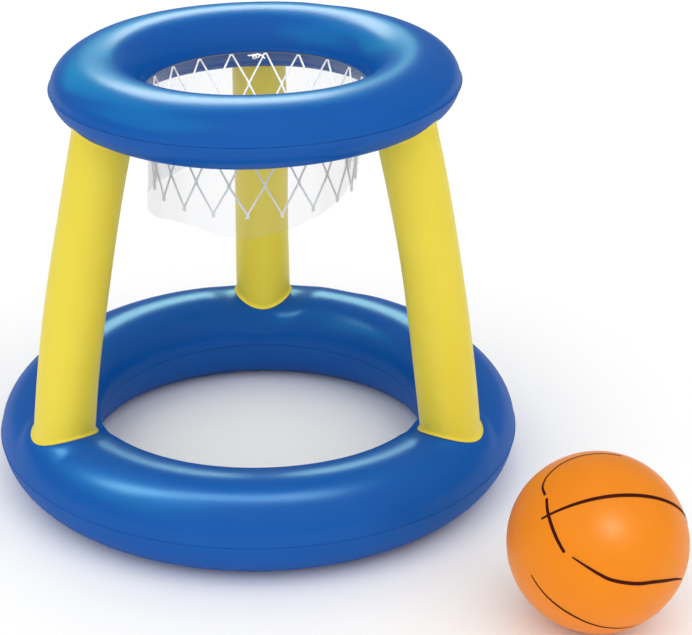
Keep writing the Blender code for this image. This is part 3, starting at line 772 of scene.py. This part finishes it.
def half_strand(loop, direction):
    """Points of the strand that leaves a loop's top to one side, joint by joint down to its cut end."""
    pitch = 2 * math.pi / net_loops
    top = first_loop + pitch * loop
    points = []
    for angle in np.radians(loop_side_degrees):
        drop = loop_drop + loop_round * (1 - math.cos(angle))
        points.append(on_net(top, direction * loop_round * math.sin(angle), drop))
    grip = cord_radius * grip_share
    entry = math.pi if direction > 0 else 0.0
    for row, drop in enumerate(net_row_drops, 1):
        joint = top + direction * pitch * row / 2
        uneven = joint_unevenness * math.sin(joint_loop_phase * loop + joint_row_phase * row)
        for share in np.linspace(0.0, 1.0, joint_points):
            angle = entry + joint_turns * 2 * math.pi * share
            points.append(on_net(joint, grip * math.cos(angle), drop + uneven + joint_length * (share - 0.5),
                                 grip * math.sin(angle)))
    spread = tail_spread + tail_spread_swing * math.sin(tail_loop_phase * loop + direction)
    side = math.cos(entry + joint_turns * 2 * math.pi)
    tail_start = drop + joint_length / 2
    tail_bend = tail_start + tail_length * tail_bend_share
    points.append(on_net(joint, side * (grip + spread), tail_bend, tail_proud))
    splayed = side * (grip + tail_splay * spread)
    points.append(on_net(joint, splayed, tail_start + tail_length, 2 * tail_proud))
    return points


net_paths = []
for loop in range(net_loops):
    crown = [on_net(first_loop + 2 * math.pi * loop / net_loops, 0.0, loop_drop)]
    net_paths.append(evenly(half_strand(loop, -1)[::-1] + crown + half_strand(loop, 1), cord_step))

# Spun polyester is dull and very white, with a soft sheen. Three plies are laid round each other, and their
# twist is drawn as relief along the cord, with the fibres as a finer grain on it.
net_cord, cord_tree, cord_shader = standard_material("white_polyester_cord", {
    "Base Color": linear("F6F8FA"), "Roughness": 0.55, "Sheen Weight": 0.15})
ply_rate = cord_plies * 2 * math.pi
cord_unrolled = add_node(cord_tree, "ShaderNodeUVMap").outputs["UV"]
cord_uv = add_node(cord_tree, "ShaderNodeSeparateXYZ", {0: cord_unrolled})
ply_turn = add_node(cord_tree, "ShaderNodeMath", {0: cord_uv.outputs["X"], 1: ply_rate}, operation="MULTIPLY")
ply_run = add_node(cord_tree, "ShaderNodeMath",
                   {0: cord_uv.outputs["Y"], 1: ply_rate / cord_lay, 2: ply_turn.outputs[0]},
                   operation="MULTIPLY_ADD")
ply = add_node(cord_tree, "ShaderNodeMath", {0: ply_run.outputs[0]}, operation="SINE")
cord_place = add_node(cord_tree, "ShaderNodeTexCoord").outputs["Object"]
fibre = add_node(cord_tree, "ShaderNodeTexNoise", {"Vector": cord_place, "Scale": 1 / cord_fibre,
                                                   "Detail": 2.0})
lay = add_node(cord_tree, "ShaderNodeMath", {0: fibre.outputs["Fac"], 1: 0.5, 2: ply.outputs[0]},
               operation="MULTIPLY_ADD")
lay_bump = add_node(cord_tree, "ShaderNodeBump", {"Height": lay.outputs[0], "Strength": 0.8,
                                                  "Distance": 0.00025})
cord_tree.links.new(lay_bump.outputs["Normal"], cord_shader.inputs["Normal"])
net = tube("net_cords", net_paths, cord_radius, cord_sides, taper=0.45)
finish(net, "hoop", "net_cord", (net_cord,), "net")

# Tie knot, where the two ends of the net's cord are tied together beside a loop at the back and tucked
# against the hem, with a little slack cord left curled round it.

tie_aside = 0.0075
tie_inset = 0.0016
tie_weave = 0.0011
tie_weave_rate = 2.4
tie_step = 0.0008
tie_cord_share = 0.85
tie_curve = ((-0.0070, 0.0062), (-0.0030, 0.0030), (0.0010, 0.0016), (0.0036, 0.0034), (0.0020, 0.0056),
             (-0.0006, 0.0040), (0.0004, 0.0016), (0.0040, 0.0022), (0.0066, 0.0044), (0.0048, 0.0066),
             (0.0026, 0.0046), (0.0050, 0.0020), (0.0090, 0.0030), (0.0120, 0.0022))
tie_azimuth = first_loop + tie_aside / net_top_radius
tie_points = [on_net(tie_azimuth, across, depth, -tie_inset - tie_weave * math.cos(tie_weave_rate * index))
              for index, (across, depth) in enumerate(tie_curve)]
tie_cord = evenly(tie_points, tie_step)
tie = tube("net_tie_knot", [tie_cord], cord_radius * tie_cord_share, cord_sides, taper=0.4)
finish(tie, "hoop", "net_cord", (net_cord,))

# Valves, one for each air chamber, moulded in soft clear PVC. A flange welded under the skin carries a
# short stem; a push-in plug on a bent tether closes it, and a thin flap on the stem's inner end holds the
# air while the plug is out.

stem_radius = 0.0038
stem_bore = 0.0026
stem_rise = 0.0012
stem_edge_round = 0.00025
flange_radius = 0.007
flange_thickness = 0.0008
flange_seat_gap = 0.00012
leg_flange_depth = 0.00135
ball_flange_depth = 0.0012
plug_head = 0.0014
plug_pin = 0.005
plug_chamfer = 0.0006
plug_edge_round = 0.00035
plug_tip_share = 0.8
most_rounded_share = 0.4
flap_edge_round = 0.00012
tab_neck = 0.0005
tab_neck_share = 0.6
tab_root_share = 0.9
strap_width = 0.0018
strap_corner_shares = ((-1, -0.5), (-1, 0.5), (-0.85, 1), (0.85, 1), (1, 0.5), (1, -0.5), (0.85, -1),
                       (-0.85, -1))
tether_bend = ((-0.00038, 0.0, 0.95), (0.001, 0.0, 0.8), (0.004, 0.0, 0.7), (0.0055, 0.0001, 0.7),
               (0.0066, 0.0006, 0.7), (0.0076, 0.0011, 0.8), (0.008, 0.0014, 0.8))
valve_steps = 40
valve_sharp_degrees = 55


def turned(name, profile, matrix, steps):
    """A moulded piece turned from a closed outline, or from one that starts and ends on its axis."""
    build = bmesh.new()
    corners = [build.verts.new((radius, 0.0, height)) for radius, height in profile]
    pairs = list(zip(corners, corners[1:]))
    if profile[0][0] > 0:
        pairs.append((corners[-1], corners[0]))
    edges = [build.edges.new(pair) for pair in pairs]
    bmesh.ops.spin(build, geom=corners + edges, cent=(0, 0, 0), axis=(0, 0, 1), angle=2 * math.pi,
                   steps=steps, use_merge=True)
    bmesh.ops.remove_doubles(build, verts=build.verts, dist=1e-6)
    bmesh.ops.recalc_face_normals(build, faces=build.faces)
    build.transform(matrix)
    return built(name, build, valve_sharp_degrees)


def rounded(corner_points, radius):
    """An outline with each corner cut by two short steps, as a mould leaves it."""
    points = [Vector(point) for point in corner_points]
    eased = []
    for index, point in enumerate(points):
        before, after = points[index - 1], points[(index + 1) % len(points)]
        if point.x == 0.0:
            eased.append(tuple(point))
            continue
        shorter = min((before - point).length, (after - point).length)
        reach = min(radius, shorter * most_rounded_share)
        start = point + (before - point).normalized() * reach
        stop = point + (after - point).normalized() * reach
        middle = (start + stop) / 4 + point / 2
        eased += [tuple(start), tuple(middle), tuple(stop)]
    return eased


def strap(name, sections, matrix):
    """A flat moulded strap through given centres, heights and thicknesses, with rounded edges."""
    build = bmesh.new()
    loops = []
    for x, z, thick in sections:
        loops.append([build.verts.new((x, across * strap_width / 2, z + rise * thick / 2))
                      for across, rise in strap_corner_shares])
    corners = len(strap_corner_shares)
    for first, second in zip(loops, loops[1:]):
        for index in range(corners):
            following = (index + 1) % corners
            build.faces.new((first[index], first[following], second[following], second[index]))
    build.faces.new(loops[0][::-1])
    build.faces.new(loops[-1])
    bmesh.ops.recalc_face_normals(build, faces=build.faces)
    build.transform(matrix)
    return built(name, build, valve_sharp_degrees)


# Soft clear PVC moulded this thick looks milky: light enters it a little way, and the mould leaves it satin.
valve_vinyl, valve_tree, valve_shader = standard_material("moulded_clear_pvc", {
    "IOR": pvc_ior, "Roughness": 0.32, "Subsurface Weight": 0.2, "Subsurface Scale": 0.002})
valve_cloud = cloudy_pigment(valve_tree, valve_shader, "DDE6EA", "CBD7DE", patch_width=0.003,
                             detail=2.0)[1]
valve_bump = add_node(valve_tree, "ShaderNodeBump", {"Height": valve_cloud, "Strength": 0.3,
                                                     "Distance": 0.00005})
valve_tree.links.new(valve_bump.outputs["Normal"], valve_shader.inputs["Normal"])

chambers = {"base_ring": sheet_thickness, "top_ring": sheet_thickness,
            **dict.fromkeys(leg_azimuths, leg_flange_depth), "ball": ball_flange_depth}
for chamber, flange_depth in chambers.items():
    seat = valve_seat(chamber)
    body = "ball" if chamber == "ball" else "hoop"
    top = flange_depth + flange_seat_gap
    outline = rounded([(stem_bore, stem_rise), (stem_radius, stem_rise), (stem_radius, -top),
                       (flange_radius, -top), (flange_radius, -top - flange_thickness),
                       (stem_radius, -top - flange_thickness), (stem_radius, -stem_depth),
                       (stem_bore, -stem_depth)], stem_edge_round)
    stem = turned(chamber + "_valve_stem", outline, seat, valve_steps)
    finish(stem, body, "valve_vinyl", (valve_vinyl,), chamber + "_valve_body")
    foot = stem_rise + plug_clearance
    head = foot + plug_head
    pin = stem_bore - plug_clearance
    outline = rounded([(0.0, head), (stem_radius, head), (stem_radius, foot), (pin, foot),
                       (pin, -plug_pin + plug_chamfer), (pin * plug_tip_share, -plug_pin), (0.0, -plug_pin)],
                      plug_edge_round)
    plug = turned(chamber + "_valve_stopper", outline, seat, valve_steps)
    middle = (foot + head) / 2
    sections = [(stem_radius + reach, middle - drop, plug_head * share) for reach, drop, share in tether_bend]
    tether = strap(chamber + "_valve_tether", sections, seat)
    tether.parent = plug
    finish(plug, chamber + "_plug", "valve_vinyl", (valve_vinyl,), chamber + "_valve_plug")
    finish(tether, chamber + "_plug", "valve_vinyl", (valve_vinyl,))
    half = flap_thickness / 2
    lid = seat @ Matrix.Translation((0.0, 0.0, -stem_depth - plug_clearance - half))
    outline = rounded([(0.0, half), (flap_radius, half), (flap_radius, -half), (0.0, -half)], flap_edge_round)
    flap = turned(chamber + "_valve_lid", outline, lid, valve_steps)
    sections = [(flap_radius * tab_root_share, 0.0, flap_thickness),
                (flap_hinge_distance - tab_neck, 0.0, flap_thickness * tab_neck_share),
                (flap_hinge_distance, 0.0, flap_thickness)]
    tab = strap(chamber + "_valve_lid_tab", sections, lid)
    finish(flap, chamber + "_flap", "valve_vinyl", (valve_vinyl,), chamber + "_valve_flap")
    finish(tab, chamber + "_flap", "valve_vinyl", (valve_vinyl,))

# Ball, blown from orange PVC to a smooth sphere with a satin skin. Its valve is set into a small dimple at
# the back.

ball_radius = 0.0901
ball_wall = 0.0005
ball_rows = 120
ball_meridians = 192
ball_inset = 0.0002
ball_far_pole = 0.012
ball_dimple_depth = 0.0009
ball_dimple_reach = 0.011
ball_uneven_waves = ((0.00018, 3, 4), (0.00012, 5, -3))
lowest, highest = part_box("ball_skin")
ball_centre = np.array([(lowest.x + highest.x) / 2, (lowest.y + highest.y) / 2, ball_radius])

polar = np.linspace(math.asin(valve_hole_radius / ball_radius), math.pi - ball_far_pole, ball_rows)
lengths = np.linspace(0.0, 2 * math.pi, ball_meridians + 1)
spin = lengths[:-1]
dimple = ball_dimple_depth * np.exp(-(polar * ball_radius / ball_dimple_reach) ** 2)
ball_points = []
for angle, sunk in zip(polar, dimple):
    uneven = sum(height * np.sin(count * spin + twist * angle) for height, count, twist in ball_uneven_waves)
    radius = ball_radius - sunk + uneven * math.sin(angle) - ball_inset
    ball_points.append(np.column_stack([radius * math.sin(angle) * np.cos(spin), radius * math.cos(angle),
                                        -radius * math.sin(angle) * np.sin(spin)]))
ball_points = np.array(ball_points) + ball_centre
ball_points = ball_points[::-1].copy()
ball_orange = calendered_vinyl("orange_pvc", "F08A12", "E9820C", roughness=0.45, shine=0.14,
                               shine_tint="FFD9A8", reflectance=0.25, shine_roughness=0.3)
ball = skin("ball_vinyl_skin", ball_points, lengths * ball_radius, (polar * ball_radius)[::-1])
build = bmesh.new()
build.from_mesh(ball.data)
open_edges = [edge for edge in build.edges if edge.is_boundary and edge.verts[0].co.y < ball_centre[1]]
bmesh.ops.holes_fill(build, edges=open_edges, sides=0)
build.to_mesh(ball.data)
build.free()
ball.data.shade_smooth()
wall = ball.modifiers.new("wall", "SOLIDIFY")
wall.thickness = ball_wall
wall.offset = -1.0
settle(ball)
finish(ball, "ball", "ball_vinyl", (ball_orange,), "ball_skin")

# Printed seams of the ball: dark maroon ink, screen printed as two crossing great circles and a pair of
# side ovals. The strokes swell and taper and leave small gaps where they meet.

pattern_axis = Vector((0.3608, -0.4826, 0.7981)).normalized()
pattern_side = Vector((-0.1084, 0.8282, 0.5498))
pattern_side = (pattern_side - pattern_axis * pattern_side.dot(pattern_axis)).normalized()
pattern_run = pattern_side.cross(pattern_axis)
oval_strokes = (((161.5, 62.3), (154.3, 65.6), (149.0, 66.2), (142.0, 65.5), (127.2, 60.6), (112.0, 52.9),
                 (85.0, 43.5)),
                ((164.5, 60.9), (176.0, 60.4), (195.0, 59.9), (207.8, 60.2)),
                ((213.6, 57.9), (226.0, 55.4), (236.5, 54.4), (247.0, 53.7), (267.0, 51.6), (284.0, 51.0),
                 (305.7, 56.4), (319.0, 65.4)))
oval_widths = ((0.0031, 0.0017), (0.0030, 0.0036), (0.0014, 0.0038))
round_strokes = (((205.5, 91.4), (221.0, 92.6), (243.0, 92.2), (261.0, 92.6), (287.0, 92.7)),
                 ((300.0, 92.6), (335.0, 92.0), (372.0, 92.6)), ((25.0, 92.6), (65.0, 92.0), (108.0, 92.6)))
round_widths = (0.0013, 0.0024)
line_widths = (0.0022, 0.0038)
line_ends = (-65.8, 62.0)
line_steps = 91
line_bow = 0.067
line_bow_turn = -15.0
line_bow_reaches = (47.0, 80.0)
stroke_step = 0.02
stroke_fullness = 2.2
stroke_shares = (-1.0, -0.5, 0.0, 0.5, 1.0)
ink_proud = 0.00012


def on_ball(polar_degrees, turn_degrees, mirrored):
    """Direction from the ball's centre of a point of the pattern."""
    polar_angle, turned_by = math.radians(polar_degrees), math.radians(turn_degrees)
    level = pattern_run * math.cos(turned_by) + pattern_side * math.sin(turned_by)
    direction = pattern_axis * math.cos(polar_angle) + level * math.sin(polar_angle)
    return -direction if mirrored else direction


def stroke(directions, ends, middle):
    """Rows of points across a stroke on the ball's skin. It is full in the middle and thin at its ends."""
    rows = []
    last = len(directions) - 1
    for index, direction in enumerate(directions):
        width = ends + (middle - ends) * (1 - abs(2 * index / last - 1) ** stroke_fullness)
        ahead = directions[min(index + 1, last)] - directions[max(index - 1, 0)]
        across = direction.cross(ahead).normalized()
        points = [(direction * ball_radius + across * width / 2 * share).normalized()
                  for share in stroke_shares]
        rows.append([point * (ball_radius + ink_proud) for point in points])
    return rows


def along_ball(marks, mirrored):
    """Directions at even steps of a stroke through its given marks: pairs of turn and polar angle."""
    directions = [on_ball(polar_angle, turned_by, mirrored) for turned_by, polar_angle in marks]
    return [Vector(point).normalized() for point in evenly(directions, stroke_step)]


strokes = []
for mirrored in (False, True):
    for marks, widths in zip(oval_strokes, oval_widths):
        strokes.append(stroke(along_ball(marks, mirrored), *widths))
    line = []
    for angle in np.linspace(*line_ends, line_steps):
        reach = line_bow_reaches[0 if angle < line_bow_turn else 1]
        bow = line_bow * math.exp(-((angle - line_bow_turn) / reach) ** 2)
        direction = on_ball(abs(angle), 180 if angle < 0 else 0, mirrored)
        line.append((direction + pattern_side * (-bow if mirrored else bow)).normalized())
    strokes.append(stroke(line, *line_widths))
for marks in round_strokes:
    strokes.append(stroke(along_ball(marks, False), *round_widths))

build = bmesh.new()
for rows in strokes:
    grid = [[build.verts.new(Vector(ball_centre) + point) for point in row] for row in rows]
    for first, second in zip(grid, grid[1:]):
        for index in range(len(stroke_shares) - 1):
            build.faces.new((first[index], first[index + 1], second[index + 1], second[index]))
bmesh.ops.recalc_face_normals(build, faces=build.faces)
for face in build.faces:
    if face.normal.dot(face.calc_center_median() - Vector(ball_centre)) < 0:
        face.normal_flip()
seams = built("ball_printed_seams", build)
seams.data.shade_smooth()

# Vinyl ink dries matt and a little uneven, so the strokes take no highlight.
seam_ink, ink_tree, ink_shader = standard_material("maroon_vinyl_ink", {
    "Roughness": 0.6, "Specular IOR Level": 0.1})
cloudy_pigment(ink_tree, ink_shader, "380400", "4A0A02", patch_width=0.004, detail=3.0)
finish(seams, "ball", "ball_vinyl", (seam_ink,))

# Studio: a white floor that keeps the shadow, in a dim white room. Two broad lights bring the colours up,
# and two narrower ones the rear leg and the net. Lamps that show in gloss alone draw the highlights: a
# softbox and two cyan gels on the rings, a row of softboxes and a glint on the base, a lamp on the ball.

floor_half = 12
floor_gap = 0.0004
room_level = 0.36
floor_mesh = bpy.data.meshes.new("studio_floor")
floor_mesh.from_pydata([(-floor_half, -floor_half, -floor_gap), (floor_half, -floor_half, -floor_gap),
                        (floor_half, floor_half, -floor_gap), (-floor_half, floor_half, -floor_gap)],
                       [], [(0, 1, 2, 3)])
floor = put_in_scene("studio_floor", floor_mesh)
floor_mesh.materials.append(standard_material("pale_floor_paint", {
    "Base Color": linear("FFFFFF"), "Roughness": 0.9, "Specular IOR Level": 0.1})[0])

room = bpy.data.worlds.new("dim_studio_room")
bpy.context.scene.world = room
room.use_nodes = True
room.node_tree.nodes["Background"].inputs["Color"].default_value = (1, 1, 1, 1)
room.node_tree.nodes["Background"].inputs["Strength"].default_value = room_level


def lit_group(name, *pieces):
    """A group of pieces that a lamp can be limited to."""
    group = bpy.data.collections.new(name)
    for piece in pieces:
        group.objects.link(piece)
    return group


def away_from(azimuth, elevation):
    """The direction of a lamp at an azimuth from +Y towards +X and an elevation, in degrees."""
    turned_by, raised = math.radians(azimuth), math.radians(elevation)
    level = math.cos(raised)
    return Vector((math.sin(turned_by) * level, math.cos(turned_by) * level, math.sin(raised)))


def hang_lamp(name, kind, away, colour, lit):
    """A lamp that shines from a direction on every piece, or on those of a lit group alone."""
    lamp = bpy.data.lights.new(name, kind)
    lamp.color = linear(colour)[:3]
    holder = put_in_scene(name, lamp)
    holder.rotation_mode = "QUATERNION"
    holder.rotation_quaternion = away.to_track_quat("Z", "Y")
    if lit:
        holder.light_linking.receiver_collection = lit
    return holder


def skylight(name, azimuth, elevation, spread, level, lit=None):
    """Soft light from a wide patch of the sky, even over the whole floor, that leaves no highlight."""
    holder = hang_lamp(name, "SUN", away_from(azimuth, elevation), "FFFFFF", lit)
    holder.data.angle = math.radians(spread)
    holder.data.energy = level * math.pi
    holder.visible_glossy = False


def softbox(name, lit, azimuth, elevation, distance, width, height, level, aim, colour="FFFFFF"):
    """A rectangular lamp of an even brightness, seen from aim. It shows in gloss alone."""
    away = away_from(azimuth, elevation)
    holder = hang_lamp(name, "AREA", away, colour, lit)
    holder.data.shape = "RECTANGLE"
    holder.data.size, holder.data.size_y = width, height
    holder.data.energy = level * math.pi * width * height
    holder.location = Vector(aim) + away * distance
    holder.visible_camera = False
    holder.visible_transmission = False
    holder.visible_diffuse = False
    return holder


hoop_middle = (hoop_axis[0], hoop_axis[1], 0.3)
skylight("ceiling_light", azimuth=-20, elevation=74, spread=140, level=0.42)
skylight("front_light", azimuth=178, elevation=26, spread=130, level=0.57)
skylight("rear_leg_light", azimuth=180, elevation=20, spread=60, level=0.24,
         lit=lit_group("lit_by_rear_leg_light", rear_leg))
skylight("net_light", azimuth=180, elevation=50, spread=50, level=0.75,
         lit=lit_group("lit_by_net_light", net, tie))
rings = lit_group("lit_by_ring_lamps", base_upper, base_lower, top_upper, top_lower)
top_ring_only = lit_group("lit_by_top_ring_softbox", top_upper, top_lower)
base_only = lit_group("lit_by_base_softbox", base_upper)
softbox("top_ring_softbox", top_ring_only, azimuth=-8, elevation=40, distance=3.0, width=1.3, height=1.1,
        level=20.0, aim=hoop_middle, colour="F4FFFA")
softbox("back_gel", top_ring_only, azimuth=-22, elevation=42, distance=3.3, width=3.4, height=3.2,
        level=3.6, aim=hoop_middle, colour="10FFE0")
softbox("left_gel", rings, azimuth=-105, elevation=45, distance=3.3, width=3.0, height=2.6,
        level=3.2, aim=hoop_middle, colour="10FFE0")

base_front = (hoop_axis[0] - 0.07, hoop_axis[1] - 0.27, 0.1)
base_box_rise = 2.2
base_box_places = np.linspace(-1.9, 0.5, 8)
grid_angle = math.radians(9.5)
for number, aside in enumerate(base_box_places, 1):
    lamp = softbox("base_softbox_%d" % number, base_only, azimuth=math.copysign(90, aside),
                   elevation=math.degrees(math.atan2(base_box_rise, abs(aside))),
                   distance=math.hypot(aside, base_box_rise), width=1.0, height=1.0, level=34.0,
                   aim=base_front, colour="C0FFE8")
    lamp.data.spread = 2 * grid_angle
    lamp.data.energy *= 1 - grid_angle / math.tan(grid_angle)

glint_radius = 0.34
glint_level = 26.0
glint_offset = Vector((0.0, 0.8, 0.6))
glint = hang_lamp("base_rear_glint", "SPOT", glint_offset, "C0FFF0", base_only)
glint.data.shadow_soft_size = glint_radius
glint.data.spot_size = math.radians(22.5)
glint.data.spot_blend = 0.35
glint.data.energy = glint_level * 4 * (math.pi * glint_radius) ** 2
glint.location = Vector((hoop_axis[0], hoop_axis[1] + base_crest_radius, base_height)) + glint_offset
glint.visible_diffuse = False
glint.visible_camera = False
ball_only = lit_group("lit_by_ball_lamp", ball, seams)
ball_lamp = softbox("ball_lamp", ball_only, azimuth=165, elevation=49, distance=1.6, width=0.6, height=0.6,
                    level=16.0, aim=ball_centre)
ball_lamp.data.shape = "DISK"

# Camera, where the photograph was taken from: nearly two metres off and about 0.6 m above the hoop, looking
# down. Its place and lens were fitted to the outlines of the rings, the legs and the ball.

camera_place = Vector((hoop_axis[0] + 0.04403, hoop_axis[1] - 1.94790, 1.0809))
camera_turn, camera_tilt, camera_roll = 0.0278, 0.4354, 0.0058
ahead = Vector((math.sin(camera_turn) * math.cos(camera_tilt), math.cos(camera_turn) * math.cos(camera_tilt),
                -math.sin(camera_tilt)))
level = Vector((math.cos(camera_turn), -math.sin(camera_turn), 0.0))
upright = level.cross(ahead)
rightward = level * math.cos(camera_roll) + upright * math.sin(camera_roll)
upward = upright * math.cos(camera_roll) - level * math.sin(camera_roll)
camera = bpy.data.cameras.new("photograph_camera")
camera.sensor_width = 36.0
camera.lens = 98.55
viewer = put_in_scene("photograph_camera", camera)
camera_frame = Matrix((rightward, upward, -ahead)).transposed().to_4x4()
viewer.matrix_world = Matrix.Translation(camera_place) @ camera_frame
bpy.context.scene.camera = viewer
bpy.context.scene.view_settings.view_transform = "Standard"
